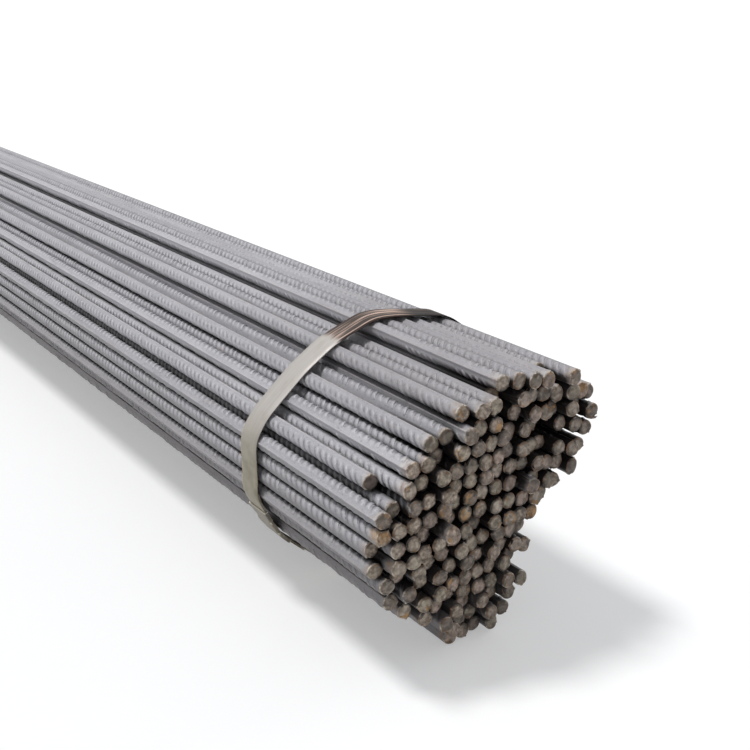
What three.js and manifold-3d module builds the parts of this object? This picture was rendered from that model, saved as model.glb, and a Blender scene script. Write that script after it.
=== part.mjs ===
// A bundle of ribbed reinforcing bars, strapped with four steel bands.
//
// Frame: millimetres, +Z up. The bars run along X. The origin is at the middle of the footprint, on the
// floor that the bands rest on.
//
// The bars are grouped by layer. Each layer is one solid, in which neighbouring bars meet along a narrow
// weld line, so that the grooves between bars are open on both faces. Layers rest on each other with a
// small clearance. Rolled ribs are left out: a bar here is as thick as a real one is over its ribs.

import * as THREE from 'three';
import { mergeVertices } from 'three/addons/utils/BufferGeometryUtils.js';
import Module from 'manifold-3d';

const wasm = await Module();
wasm.setup();

// ---- Driving dimensions (mm, degrees) -----------------------------------------------------------------

const barLength = 6000;          // stock length of every bar
const barWidth = 17;             // bar over its ribs, across flats; a nominal 16 mm bar
const barSides = 12;             // flats on the modelled bar
const weldDepth = 0.3;           // how far neighbouring bars of one layer run into each other
const clearance = 0.35;          // gap between solids that rest on each other
const endScatter = 12;           // how far most outer bar ends stray from the mean end, either way
const endStray = 34;             // extra reach of the bars that stand well out or well in
const strayShare = 0.16;         // share of the bars that do
const innerGrip = 0.6;           // part of this that the bars in the very middle lack, held by the rest
const slantAcross = -0.12;       // how much further the ends at +X reach for each mm towards +Y
const slantUp = 0.12;            // and for each mm up

const bandWidth = 32;            // steel strapping, along the bundle
const bandThickness = 1;
const bandCount = 4;
const bandInset = 205;           // mean bar end to the middle of the first band
const bandLap = 90;              // second turn of the band over its own start
const lapRamp = 12;              // length in which the band climbs onto that start

const sealLength = 46;           // crimped sleeve over the lap, measured along the band
const sealThickness = 1.2;
const sealAngle = -149;          // where round the bundle the sleeve sits, from +Y, anticlockwise
const crimpPairs = 2;
const crimpWidth = 6;
const crimpDepth = 3;

// Steepest that a bar hangs from its neighbour, to the left and to the right of its layer's middle, and
// how much flatter some of them lie.
const leftHang = -30;
const rightHang = -26;
const hangSpread = 28;

// Bars in each layer, from the floor up, and how far the middle of each layer stands towards +Y, in
// bar widths. The bundle is egg-shaped, narrow below, and leans to +Y at the top.
const layers = [
  { bars: 4, lean: 0 },
  { bars: 5, lean: -0.2 },
  { bars: 6, lean: -0.6 },
  { bars: 8, lean: -0.9 },
  { bars: 9, lean: -1.1 },
  { bars: 11, lean: -1.7 },
  { bars: 11, lean: -1.7 },
  { bars: 12, lean: -1.8 },
  { bars: 13, lean: -1.5 },
  { bars: 14, lean: -1 },
  { bars: 15, lean: -0.5 },
  { bars: 15, lean: -0.2 },
  { bars: 14, lean: 0.5 },
  { bars: 13, lean: 1.4 },
  { bars: 11, lean: 2.2 },
  { bars: 6, lean: 2.8 },
];

// ---- Small helpers ------------------------------------------------------------------------------------

const radians = THREE.MathUtils.degToRad;
const Vec = THREE.Vector2;       // a point of the cross-section, (y, z)

// A repeatable number from 0 to 1 for bar j of layer i.
function scatter(i, j, use) {
  const wave = Math.sin(i * 12.9898 + j * 78.233 + use * 37.719) * 43758.5453;
  return wave - Math.floor(wave);
}

// Stands a section drawn in the Y-Z plane along X, from one X to another.
const sectionToFrame = new THREE.Matrix4().makeBasis(
  new THREE.Vector3(0, 1, 0),
  new THREE.Vector3(0, 0, 1),
  new THREE.Vector3(1, 0, 0),
);

function alongX(outline, fromX, toX) {
  const options = { depth: toX - fromX, bevelEnabled: false };
  const geometry = new THREE.ExtrudeGeometry(new THREE.Shape(outline), options);
  return geometry.applyMatrix4(sectionToFrame).translate(fromX, 0, 0);
}

function toSolid(geometry) {
  geometry.deleteAttribute('normal');
  geometry.deleteAttribute('uv');
  const merged = mergeVertices(geometry);
  const mesh = new wasm.Mesh({
    numProp: 3,
    vertProperties: new Float32Array(merged.attributes.position.array),
    triVerts: new Uint32Array(merged.index.array),
  });
  return new wasm.Manifold(mesh);
}

function toGeometry(solid) {
  const { vertProperties, triVerts } = solid.getMesh();
  const geometry = new THREE.BufferGeometry();
  geometry.setAttribute('position', new THREE.BufferAttribute(vertProperties, 3));
  geometry.setIndex(new THREE.BufferAttribute(triVerts, 1));
  geometry.computeVertexNormals();
  return geometry;
}

// ---- Where the bars lie in the cross-section ----------------------------------------------------------

const inLayer = barWidth - weldDepth;
const betweenLayers = barWidth + clearance;
const floorHeight = bandThickness + clearance + barWidth / 2;

// Normals of half of a bar's flats; the others are their opposites.
const flatNormals = Array.from({ length: barSides / 2 }, (_, k) => {
  const angle = (k * 2 * Math.PI) / barSides;
  return new Vec(Math.cos(angle), Math.sin(angle));
});

// Corners of a bar's section, with its flats at the given distance from its axis.
function barSection(centre, apothem = barWidth / 2) {
  const halfFlat = Math.PI / barSides;
  const radius = apothem / Math.cos(halfFlat);
  return Array.from({ length: barSides }, (_, k) => {
    const angle = (2 * k + 1) * halfFlat;
    return new Vec(Math.cos(angle), Math.sin(angle)).multiplyScalar(radius).add(centre);
  });
}

// Distance between two bars, measured across the flats that face each other.
function flatDistance(a, b) {
  return Math.max(...flatNormals.map((n) => Math.abs(n.x * (a.x - b.x) + n.y * (a.y - b.y))));
}

function isFree(point, placed) {
  const apart = (other) => flatDistance(point, other) >= betweenLayers - 1e-6;
  return point.y >= floorHeight - 1e-6 && placed.every(apart);
}

// Where a bar that moves along a path of places, from one value down to another, is stopped by the bars
// already laid. It ends at the lower value if nothing stops it.
function comeDown(pathAt, from, to, placed) {
  const step = (from - to) / 400;
  let free = from;
  while (free - step >= to && isFree(pathAt(free - step), placed)) free -= step;
  let stopped = Math.max(free - step, to);
  if (isFree(pathAt(stopped), placed)) return pathAt(stopped);
  for (let halving = 0; halving < 16; halving += 1) {
    const half = (free + stopped) / 2;
    if (isFree(pathAt(half), placed)) free = half;
    else stopped = half;
  }
  return pathAt(free);
}

// A bar let down at the given y rests on those already laid, or on the floor line.
function restingPlace(y, placed) {
  return comeDown((z) => new Vec(y, z), floorHeight + layers.length * barWidth, floorHeight, placed);
}

// The next bar of a layer touches its neighbour and swings down, on the side given, until it rests. Lowest
// is the steepest that it may hang from that neighbour.
function nextInLayer(neighbour, side, lowest, placed) {
  const swingTo = (swing) => {
    const direction = new Vec(side * Math.cos(swing), Math.sin(swing));
    const reach = inLayer / flatDistance(direction, new Vec());
    return direction.multiplyScalar(reach).add(neighbour);
  };
  return comeDown(swingTo, Math.PI / 2, lowest, placed);
}

// Each layer is laid from its middle bar outwards. Some bars are held up a little by their neighbours.
function layBars() {
  const placed = [];
  return layers.map(({ bars, lean }, i) => {
    const middle = Math.floor(bars / 2);
    const shift = lean + (bars % 2 ? 0 : 0.5) + 0.6 * (scatter(i, 0, 1) - 0.5);
    const hang = (j) => radians((j > middle ? rightHang : leftHang) + hangSpread * scatter(i, j, 2) ** 3);
    const row = new Array(bars);
    row[middle] = restingPlace(shift * barWidth, placed);
    for (let j = middle + 1; j < bars; j += 1) row[j] = nextInLayer(row[j - 1], 1, hang(j), placed);
    for (let j = middle - 1; j >= 0; j -= 1) row[j] = nextInLayer(row[j + 1], -1, hang(j), placed);
    placed.push(...row);
    return row;
  });
}

const rows = layBars();
const bundleHeight = Math.max(...rows.flat().map((centre) => centre.y)) + barWidth / 2;
const bundleMiddle = new Vec(0, 0.55 * bundleHeight);

// ---- Bar layers ---------------------------------------------------------------------------------------

// How far a bar is pushed along X from its mean place.
function endShift(centre, i, j) {
  const slant = slantAcross * centre.x + slantUp * (centre.y - bundleHeight / 2);
  const outward = Math.min(1, (2 * centre.distanceTo(bundleMiddle)) / bundleHeight);
  const freedom = 1 - innerGrip * (1 - outward ** 2);
  const shift = endScatter * (2 * scatter(i, j, 3) - 1);
  if (scatter(i, j, 4) > strayShare) return slant + freedom * shift;
  const stray = (scatter(i, j, 5) < 0.5 ? -endStray : endStray) * scatter(i, j, 6);
  return slant + freedom * (shift + stray);
}

function barLayer(row, i) {
  const bars = row.map((centre, j) => {
    const middle = endShift(centre, i, j);
    return toSolid(alongX(barSection(centre), middle - barLength / 2, middle + barLength / 2));
  });
  return toGeometry(bars.reduce((layer, bar) => layer.add(bar)));
}

// ---- The line that a band follows round the bundle ----------------------------------------------------

// Corners of the tightest closed line round some points, anticlockwise.
function wrapRound(points) {
  const sorted = [...points].sort((a, b) => a.x - b.x || a.y - b.y);
  const turn = (a, b, c) => (b.x - a.x) * (c.y - a.y) - (b.y - a.y) * (c.x - a.x);
  const half = (list) => {
    const chain = [];
    for (const point of list) {
      while (chain.length > 1 && turn(chain.at(-2), chain.at(-1), point) < 1e-3) chain.pop();
      chain.push(point);
    }
    return chain.slice(0, -1);
  };
  return [...half(sorted), ...half(sorted.reverse())];
}

// The line, as corners with the distance run so far and the direction in which each corner moves when
// the line is offset outwards.
function bandLine() {
  const corners = wrapRound(rows.flat().flatMap((c) => barSection(c, barWidth / 2 + clearance)));
  const count = corners.length;
  const normals = corners.map((corner, k) => {
    const edge = corners[(k + 1) % count].clone().sub(corner).normalize();
    return new Vec(edge.y, -edge.x);
  });
  let run = 0;
  const line = corners.map((point, k) => {
    const before = normals[(k + count - 1) % count];
    const mitre = before.clone().add(normals[k]).divideScalar(1 + before.dot(normals[k]));
    const corner = { point, mitre, normal: normals[k], run };
    run += point.distanceTo(corners[(k + 1) % count]);
    return corner;
  });
  return { line, length: run };
}

const { line: loop, length: loopLength } = bandLine();

// The place at a distance run round the line, which may be less than nothing or more than one turn.
function onLoop(distance) {
  const run = ((distance % loopLength) + loopLength) % loopLength;
  const start = loop.findLast((corner) => corner.run <= run);
  const edge = new Vec(-start.normal.y, start.normal.x);
  const point = start.point.clone().addScaledVector(edge, run - start.run);
  return { point, mitre: start.normal, normal: start.normal, edge };
}

// Places on the line from one distance to another, with every corner between and any extra stops.
function stretch(from, to, stops = []) {
  const places = [from, ...stops, to].map((run) => ({ ...onLoop(run), run }));
  for (let turn = Math.floor(from / loopLength); turn * loopLength < to; turn += 1) {
    for (const corner of loop) {
      const run = corner.run + turn * loopLength;
      if (run > from + 0.5 && run < to - 0.5) places.push({ ...corner, run });
    }
  }
  return places.sort((a, b) => a.run - b.run);
}

// Outline of a strip on those places, between two heights above the line. A height is a number, or a
// function of the distance run.
function strip(places, low, high) {
  const at = (height, run) => (typeof height === 'function' ? height(run) : height);
  const lift = (place, height) => place.point.clone().addScaledVector(place.mitre, at(height, place.run));
  const under = places.map((place) => lift(place, low));
  const over = places.map((place) => lift(place, high));
  return [...over.reverse(), ...under];
}

// Where the sleeve sits: the distance run at which the line crosses a ray from the middle of the bundle.
function runAtAngle(degrees) {
  const middle = loop.reduce((sum, corner) => sum.add(corner.point), new Vec()).divideScalar(loop.length);
  const ray = new Vec(Math.cos(radians(degrees)), Math.sin(radians(degrees)));
  const ahead = (run) => onLoop(run).point.clone().sub(middle).normalize().dot(ray);
  const steps = Array.from({ length: Math.ceil(loopLength) }, (_, run) => run);
  return steps.reduce((best, run) => (ahead(run) > ahead(best) ? run : best));
}

const sealRun = runAtAngle(sealAngle);

// ---- Bands and their seals ----------------------------------------------------------------------------

// One turn, then a lap that climbs over the band's own start.
function band() {
  const start = sealRun - bandLap / 2;
  const climbed = start + loopLength - clearance;
  const climbing = climbed - lapRamp;
  const climb = bandThickness + clearance;
  const low = (run) => climb * THREE.MathUtils.clamp((run - climbing) / lapRamp, 0, 1);
  const places = stretch(start, start + loopLength + bandLap, [climbing, climbed]);
  const outline = strip(places, low, (run) => low(run) + bandThickness);
  return alongX(outline, -bandWidth / 2, bandWidth / 2);
}

// A sleeve folded over both turns of the band and down past its edges, with crimps nipped in its edges.
function seal() {
  const places = stretch(sealRun - sealLength / 2, sealRun + sealLength / 2);
  const inside = bandWidth / 2 + clearance;
  const outside = inside + sealThickness;
  const roof = 2 * (bandThickness + clearance);
  const top = roof + sealThickness;
  const cover = toSolid(alongX(strip(places, roof, top), -outside, outside));
  const flangeOutline = strip(places, 0, roof + sealThickness / 2);
  const flanges = [
    toSolid(alongX(flangeOutline, -outside, -inside)),
    toSolid(alongX(flangeOutline, inside, outside)),
  ];
  let sleeve = flanges.reduce((whole, flange) => whole.add(flange), cover);
  for (const notch of crimps(outside, top)) sleeve = sleeve.subtract(notch);
  return toGeometry(sleeve);
}

// Wedges that nip the sleeve's edges, in pairs that face each other across the band.
function crimps(outside, top) {
  const spacing = sealLength / (crimpPairs + 1);
  const mouth = outside + clearance;
  const tip = outside - crimpDepth;
  const wedges = [];
  for (let k = 1; k <= crimpPairs; k += 1) {
    const { point, edge, normal } = onLoop(sealRun - sealLength / 2 + k * spacing);
    const along = new THREE.Vector3(0, edge.x, edge.y);
    const across = new THREE.Vector3(1, 0, 0);
    const up = new THREE.Vector3(0, normal.x, normal.y);
    const turned = new THREE.Matrix4().makeBasis(along, across, up);
    for (const side of [-1, 1]) {
      const outline = [
        new Vec(0, side * tip),
        new Vec(crimpWidth / 2, side * mouth),
        new Vec(-crimpWidth / 2, side * mouth),
      ];
      const options = { depth: 3 * top, bevelEnabled: false };
      const wedge = new THREE.ExtrudeGeometry(new THREE.Shape(outline), options).translate(0, 0, -top);
      wedges.push(toSolid(wedge.applyMatrix4(turned).translate(0, point.x, point.y)));
    }
  }
  return wedges;
}

// ---- The bundle ---------------------------------------------------------------------------------------

const barSteel = { color: 0x93949b, roughness: 0.55, metalness: 0.6 };
const bandSteel = { color: 0x9a9484, roughness: 0.45, metalness: 0.8 };
const sealSteel = { color: 0x8d877a, roughness: 0.5, metalness: 0.8 };

function addPiece(group, name, geometry, finish, x = 0) {
  const mesh = new THREE.Mesh(geometry, new THREE.MeshStandardMaterial(finish));
  mesh.name = name;
  mesh.position.x = x;
  group.add(mesh);
}

function buildBundle() {
  const bundle = new THREE.Group();
  rows.forEach((row, i) => {
    const number = String(i + 1).padStart(2, '0');
    addPiece(bundle, `bar_layer_${number}`, barLayer(row, i), barSteel);
  });
  const firstBand = barLength / 2 - bandInset;
  for (let k = 0; k < bandCount; k += 1) {
    const x = firstBand - (k * 2 * firstBand) / (bandCount - 1);
    addPiece(bundle, `band_${k + 1}`, band(), bandSteel, x);
    addPiece(bundle, `band_seal_${k + 1}`, seal(), sealSteel, x);
  }
  const box = new THREE.Box3().setFromObject(bundle);
  const middle = box.getCenter(new THREE.Vector3());
  bundle.position.set(-middle.x, -middle.y, -box.min.z);
  return bundle;
}

export default buildBundle();
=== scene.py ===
"""Looks of a strapped bundle of ribbed reinforcing bars, 6 m long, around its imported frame.

Metres, +Z up, bars along X, with their near ends at +X. Every bar's place, and the place and line of every
band, are read from the frame. Each layer of the frame is replaced by its real bars: a round core, two long
ribs, crescent ribs across them and sheared ends. Crescent ribs are real towards the ends and bump between.
"""

import math

import bpy
import numpy as np
from mathutils.geometry import convex_hull_2d
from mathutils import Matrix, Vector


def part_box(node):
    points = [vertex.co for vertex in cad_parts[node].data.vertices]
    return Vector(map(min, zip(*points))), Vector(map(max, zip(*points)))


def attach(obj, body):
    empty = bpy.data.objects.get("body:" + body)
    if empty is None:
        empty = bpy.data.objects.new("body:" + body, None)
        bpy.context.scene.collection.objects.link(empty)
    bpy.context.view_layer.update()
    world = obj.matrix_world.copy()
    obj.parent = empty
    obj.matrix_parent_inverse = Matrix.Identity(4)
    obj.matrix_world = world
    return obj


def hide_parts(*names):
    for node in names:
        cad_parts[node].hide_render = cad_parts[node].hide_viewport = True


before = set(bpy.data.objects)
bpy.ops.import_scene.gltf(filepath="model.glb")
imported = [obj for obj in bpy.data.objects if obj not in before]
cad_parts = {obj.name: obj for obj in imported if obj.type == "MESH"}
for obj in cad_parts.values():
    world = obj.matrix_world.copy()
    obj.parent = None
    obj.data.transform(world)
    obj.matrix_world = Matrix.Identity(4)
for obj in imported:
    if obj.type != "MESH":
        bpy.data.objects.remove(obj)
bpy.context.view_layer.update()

# ---- Sizes (m, degrees) ------------------------------------------------------

MM = 0.001

BAR_LENGTH = 6.0
BAR_WIDTH = 0.017               # over the ribs
WHOLE_END = 0.9                 # an end face in the frame is at least this share of it high
LEVEL = 0.00001                 # points of the frame that differ by less than this are level
CORE_RADIUS = 0.0074
SKIN_SINK = 0.0003              # how deep the foot of a rib is sunk into the core

LONG_RIB_HEIGHT = 0.0009
LONG_RIB_FOOT = 8.5             # half of its width at the core, in degrees round the bar
LONG_RIB_TOP = 4.5
CORE_STEPS = 9                  # flats of the core between one long rib and the other

RIB_PITCH = 0.010
RIB_HEIGHT = 0.0011
RIB_WIDTH = 0.0062              # at the core
RIB_TAPER = 0.4                 # share of that width that it loses towards its points
RIB_CREST = 0.0028              # width of its flat top
RIB_ARC = 76                    # half of the arc that a crescent rib spans
RIB_LEAN = 0.65                 # advance along the bar for each unit round it
RIB_STEPS = 6
FIRST_RIB = 0.004               # at least this far back from the near end
RIB_WORN = 0.12                 # share of its height that a rib may have lost
RIB_RUN = 1.30                  # how far real ribs go back from the near end, on the outer bars
STUB_RUN = 0.07                 # and from all the other ends

BAND_WIDTH = 0.032
BAND_THICKNESS = 0.001
BAND_ROUND = 0.0003             # at its edges
BAND_PLAY = 0.00035             # between the band and the bars, and between its two turns
BAND_LAP = 0.090
LAP_RAMP = 0.012
STRAP_STEP = 0.003
STRAP_EASE = 0.007              # spread of each bend along the strap
RIM_STEP = 6                    # degrees between the points of a bar's rim that a strap may lie on
TOP_STRETCH = (0.022, 0.008)    # below its highest point, where the strap turns brown
PAST_STRETCH = (0.035, 0.060)   # towards +Y, where it turns dark past the top, in painted shade
PAST_FACING = (-0.15, 0.60)     # and how far up it faces there
LOW_STRETCH = (0.145, 0.205)    # over its lowest point, where it stops being olive

SEAL_LENGTH = 0.046
SEAL_THICKNESS = 0.0012
SEAL_BEND = 0.0011              # radius of its folds
SHARP_EDGE = 40                 # its edges that turn by more than this stay crisp
SEAL_ANGLE = -149               # from +Y, anticlockwise seen from +X
SEAL_STEPS = 46
CRIMP_PAIRS = 2
CRIMP_SPREAD = 0.00252          # along the seal
CRIMP_REACH = 0.62              # where a crimp starts, as a share of half of the seal's width
CRIMP_BITE = 0.0028             # how far it is nipped in
CRIMP_PRESS = 0.0009            # and pressed down

END_RINGS = (0.2, 0.5, 0.78, 0.88, 0.95)                # rings of a cut end, as shares of its radius
END_ROUND = 0.0005              # how far the rim of a cut end is worn back
END_RIPPLE = 0.00012            # how uneven its face is
SIDE_STATIONS = (0.0006, 0.0015, 0.006, 0.020, 0.040)   # rings of the skin, from an end
CUT_FADE = 0.005                # how far back from the cut its shape is felt along the bar
END_SWELL = 0.045               # how much wider a bar is at its cut, as a share
FLARE_RUN = (0.001, 0.008)      # where, back from the cut, it gets its own width and roundness back

LOOK_STEP = 5                   # degrees between the directions in which a bar looks out
LOOKS = np.radians(np.arange(0, 360, LOOK_STEP))
OPEN_RAYS = np.radians(np.arange(-72, 73, 18))          # from straight out of a bar's side
OPEN_STATIONS = (0.0, 0.008, 0.018, 0.032, 0.060)       # from a bar's end
OPEN_SLANT = 0.004              # how far short of a place a neighbour may end and still shade it
OPEN_REACH = 0.080              # and how far off it may lie

# Heights over the floor between which the finish of the bars changes.
GAP_SHADE_NEAR_FLOOR = (0.02, 0.11)
LOW_BARS = (0.07, 0.22)
SHADED_BARS = (0.08, 0.23)
UPPER_BARS = (0.16, 0.22)
CROWN_BARS = (0.19, 0.24)
TOP_END_SHADE_BARS = (0.215, 0.250)

# Distances back from a bar's end between which it changes.
RUBBED_TIP = (0.016, 0.036)
UPPER_TIP_FADE = (0.03, 0.12)
TOP_END_SHADE_RUN = (0.15, 0.50)

WHITE = (1.0, 1.0, 1.0, 1.0)
SKY_COLOR = (0.93, 0.96, 1.0, 1.0)
SKY_STRENGTH = 0.42
FLOOR_SIDE = 160
FLOOR_GLOW = 0.36
LAMPS = (                       # name, azimuth from -Y towards +X, elevation, strength and softness
    ("key", -42, 68, 2.0, 12),
    ("fill", 190, 20, 0.45, 30),
)

CAMERA_PLACE = (3.7806, -0.6212, 0.5978)
CAMERA_AZIMUTH = 57.319
CAMERA_ELEVATION = 18.262
FOCAL_LENGTH = 57.6             # mm
SENSOR_WIDTH = 36               # mm
VIEW_REACH = 200


# ---- Node helpers ------------------------------------------------------------

class Nodes:
    """A node tree under construction, with short calls for the nodes that are used most."""

    def __init__(self, tree):
        self.tree = tree

    def put(self, socket, value):
        """Links a socket to another, or sets its value."""
        if isinstance(value, bpy.types.NodeSocket):
            self.tree.links.new(value, socket)
        else:
            socket.default_value = value

    def add(self, kind, inputs=(), out=None, **settings):
        """Adds a node, with its properties and its inputs, by name or in order, and gives one output.

        That is the named one, or else the first. An input of None stays as it is.
        """
        node = self.tree.nodes.new(kind)
        for key, value in settings.items():
            setattr(node, key, value)
        sockets = [socket for socket in node.inputs if socket.enabled]
        if isinstance(inputs, dict):
            sockets = [next(socket for socket in sockets if socket.name == name) for name in inputs]
            inputs = inputs.values()
        for socket, value in zip(sockets, inputs):
            if value is not None:
                self.put(socket, value)
        return node.outputs[out] if out else next(socket for socket in node.outputs if socket.enabled)

    def math(self, operation, *values):
        return self.add("ShaderNodeMath", values, operation=operation)

    def times(self, a, b):
        return self.math("MULTIPLY", a, b)

    def split(self, vector):
        """The three parts of a vector."""
        node = self.tree.nodes.new("ShaderNodeSeparateXYZ")
        self.put(node.inputs[0], vector)
        return tuple(node.outputs)


class Finish(Nodes):
    """A material under construction, whose colour is laid on coat by coat."""

    def __init__(self, name, metallic=0.0, specular=0.5):
        self.material = bpy.data.materials.new(name)
        self.material.use_nodes = True
        super().__init__(self.material.node_tree)
        self.shader = self.tree.nodes["Principled BSDF"]
        self.shader.inputs["Metallic"].default_value = metallic
        self.shader.inputs["Specular IOR Level"].default_value = specular
        self.places = self.add("ShaderNodeTexCoord", out="Object")
        self.color = None

    def attribute(self, name):
        return self.add("ShaderNodeAttribute", out="Fac", attribute_name=name)

    def stretched(self, x, y, z):
        return self.add("ShaderNodeMapping", {"Vector": self.places, "Scale": (x, y, z)})

    def noise(self, scale, detail=3, roughness=0.6, at=None, distortion=0.0):
        return self.add("ShaderNodeTexNoise", {
            "Vector": at or self.places, "Scale": scale, "Detail": detail,
            "Roughness": roughness, "Distortion": distortion,
        })

    def range(self, value, low, high, out_low=0.0, out_high=1.0):
        """Smooth step from one value to another."""
        numbers = (value, low, high, out_low, out_high)
        return self.add("ShaderNodeMapRange", numbers, interpolation_type="SMOOTHSTEP")

    def mix(self, factor, a, b):
        colors = [(*color, 1.0) if isinstance(color, tuple) else color for color in (a, b)]
        return self.add("ShaderNodeMix", (factor, *colors), data_type="RGBA")

    def coat(self, color, where, low=None, high=None, most=1.0):
        """Lays a colour over those before it: where a value says, or where it climbs from low to high."""
        if low is not None:
            where = self.range(where, low, high, 0.0, most)
        self.color = self.mix(where, self.color, color)

    def bump(self, height, distance, normal=None, strength=1.0):
        inputs = {"Strength": strength, "Distance": distance, "Height": height, "Normal": normal}
        return self.add("ShaderNodeBump", inputs)

    def finish(self, roughness, normal=None):
        self.put(self.shader.inputs["Base Color"], self.color)
        self.put(self.shader.inputs["Roughness"], roughness)
        if normal:
            self.put(self.shader.inputs["Normal"], normal)
        return self.material


def seen_directly(nodes):
    """1 for what the camera sees, by itself or in metal or through glass, and 0 for light on surfaces."""
    path = nodes.tree.nodes.new("ShaderNodeLightPath").outputs
    seen = nodes.math("MAXIMUM", path["Is Camera Ray"], path["Is Glossy Ray"])
    return nodes.math("MAXIMUM", seen, path["Is Transmission Ray"])


class Tree(Nodes):
    """A Geometry Nodes tree under construction, with named inputs of its own."""

    def __init__(self, name, **inputs):
        super().__init__(bpy.data.node_groups.new(name, "GeometryNodeTree"))
        new_socket = self.tree.interface.new_socket
        new_socket("Geometry", in_out="OUTPUT", socket_type="NodeSocketGeometry")
        for label, kind in {"Geometry": "Geometry", **inputs}.items():
            new_socket(label, in_out="INPUT", socket_type="NodeSocket" + kind)
        self.inputs = self.tree.nodes.new("NodeGroupInput").outputs

    def geometry_of(self, piece):
        return self.add("GeometryNodeObjectInfo", {"Object": piece}, out="Geometry")

    def attribute(self, name, kind="FLOAT"):
        return self.add("GeometryNodeInputNamedAttribute", {"Name": name}, data_type=kind)

    def shown(self, geometry):
        self.put(self.tree.nodes.new("NodeGroupOutput").inputs[0], geometry)
        return self.tree


def add_tree(piece, tree, values):
    """Puts a Geometry Nodes tree on a piece, with its named inputs set."""
    modifier = piece.modifiers.new(tree.name, "NODES")
    modifier.node_group = tree
    for item in tree.interface.items_tree:
        if item.in_out == "INPUT" and item.name in values:
            modifier[item.identifier] = values[item.name]


def settle(piece):
    """Makes what the modifiers show into the piece's own plain mesh."""
    bpy.context.view_layer.update()
    depsgraph = bpy.context.evaluated_depsgraph_get()
    mesh = bpy.data.meshes.new_from_object(
        piece.evaluated_get(depsgraph), preserve_all_data_layers=True, depsgraph=depsgraph
    )
    piece.modifiers.clear()
    piece.data = mesh


# ---- Mesh helpers ------------------------------------------------------------

def smooth(value, low, high):
    """Smooth step from 0 at low to 1 at high."""
    t = np.clip((value - low) / (high - low), 0, 1)
    return t * t * (3 - 2 * t)


def ways_at(turns):
    """Directions across the bars, as rows (y, z), at turns from +Y."""
    return np.column_stack([np.cos(turns), np.sin(turns)])


def points_of(mesh):
    flat = np.empty(3 * len(mesh.vertices))
    mesh.vertices.foreach_get("co", flat)
    return flat.reshape(-1, 3)


def store(mesh, key, numbers):
    """Gives every point of a mesh a number for the finishes and the trees to read."""
    mesh.attributes.new(key, "FLOAT", "POINT").data.foreach_set("value", numbers)


def add_object(name, mesh, *materials):
    for material in materials:
        mesh.materials.append(material)
    piece = bpy.data.objects.new(name, mesh)
    bpy.context.collection.objects.link(piece)
    return piece


# ---- Finishes ----------------------------------------------------------------

def rib_pattern(f):
    """Where the crescent ribs stand, where the hollows between them lie and where the long ribs run.

    All come from the wrap map: distance along the bar, and turn round it from a long rib.
    """
    along, turn, _ = f.split(f.add("ShaderNodeUVMap", uv_map="wrap"))
    doubled = f.times(turn, 2.0)
    half_turn = f.math("SUBTRACT", f.math("FRACT", doubled), 0.5)
    off_middle = f.math("ABSOLUTE", half_turn)
    slid = f.math("MULTIPLY_ADD", half_turn, -RIB_LEAN * CORE_RADIUS * math.pi, along)
    beat = f.math("MULTIPLY_ADD", slid, 1 / RIB_PITCH, f.times(f.math("FLOOR", doubled), 0.5))
    beat = f.math("FRACT", f.math("ADD", beat, 0.5))
    off_crest = f.math("ABSOLUTE", f.math("SUBTRACT", beat, 0.5))
    crest, foot = 0.5 * RIB_CREST / RIB_PITCH, 0.5 * RIB_WIDTH / RIB_PITCH
    ridge = f.range(off_crest, crest, foot, 1.0, 0.0)
    hollow = f.range(off_crest, foot - 0.03, 0.46)
    crescent = f.range(off_middle, 0.12, RIB_ARC / 180, 1.0, 0.0)
    long_rib = f.times(f.range(off_middle, 0.462, 0.482), f.attribute("rim"))
    return f.times(ridge, crescent), f.times(hollow, crescent), long_rib


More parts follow.
